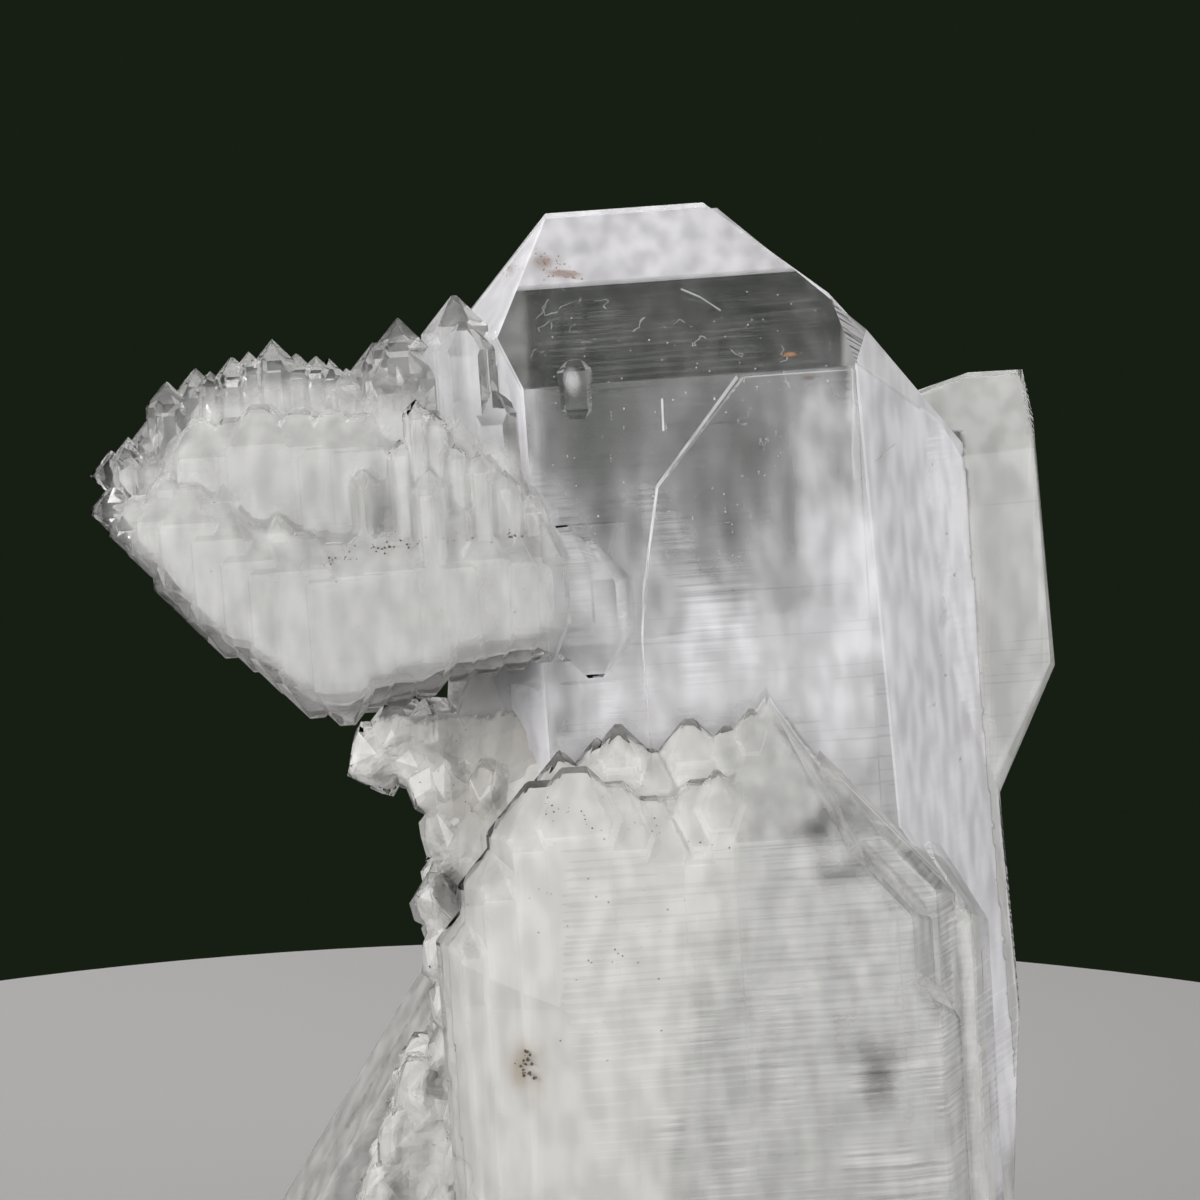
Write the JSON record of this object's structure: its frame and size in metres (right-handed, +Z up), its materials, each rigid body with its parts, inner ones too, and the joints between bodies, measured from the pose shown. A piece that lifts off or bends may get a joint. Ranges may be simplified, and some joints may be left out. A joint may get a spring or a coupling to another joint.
{
  "type": "lemurian quartz cluster",
  "caption": "Upright lemurian quartz cluster: a large flat-ended point, a milky wing of small points on the left, a broad low plate in front and a druse crust between.",
  "frame": {"origin": "centre of the flat cut base, at the bottom of the bounding box", "axes": "+Z up along the tall axis, front faces -Y, +X to the viewer's right"},
  "size_m": [0.1232, 0.0608, 0.1497],
  "materials": {
    "clear_quartz": "natural crystal faces with fine horizontal striations"
  },
  "bodies": {
    "root": {"quartz_cluster": "clear_quartz"}
  },
  "joints": []
}
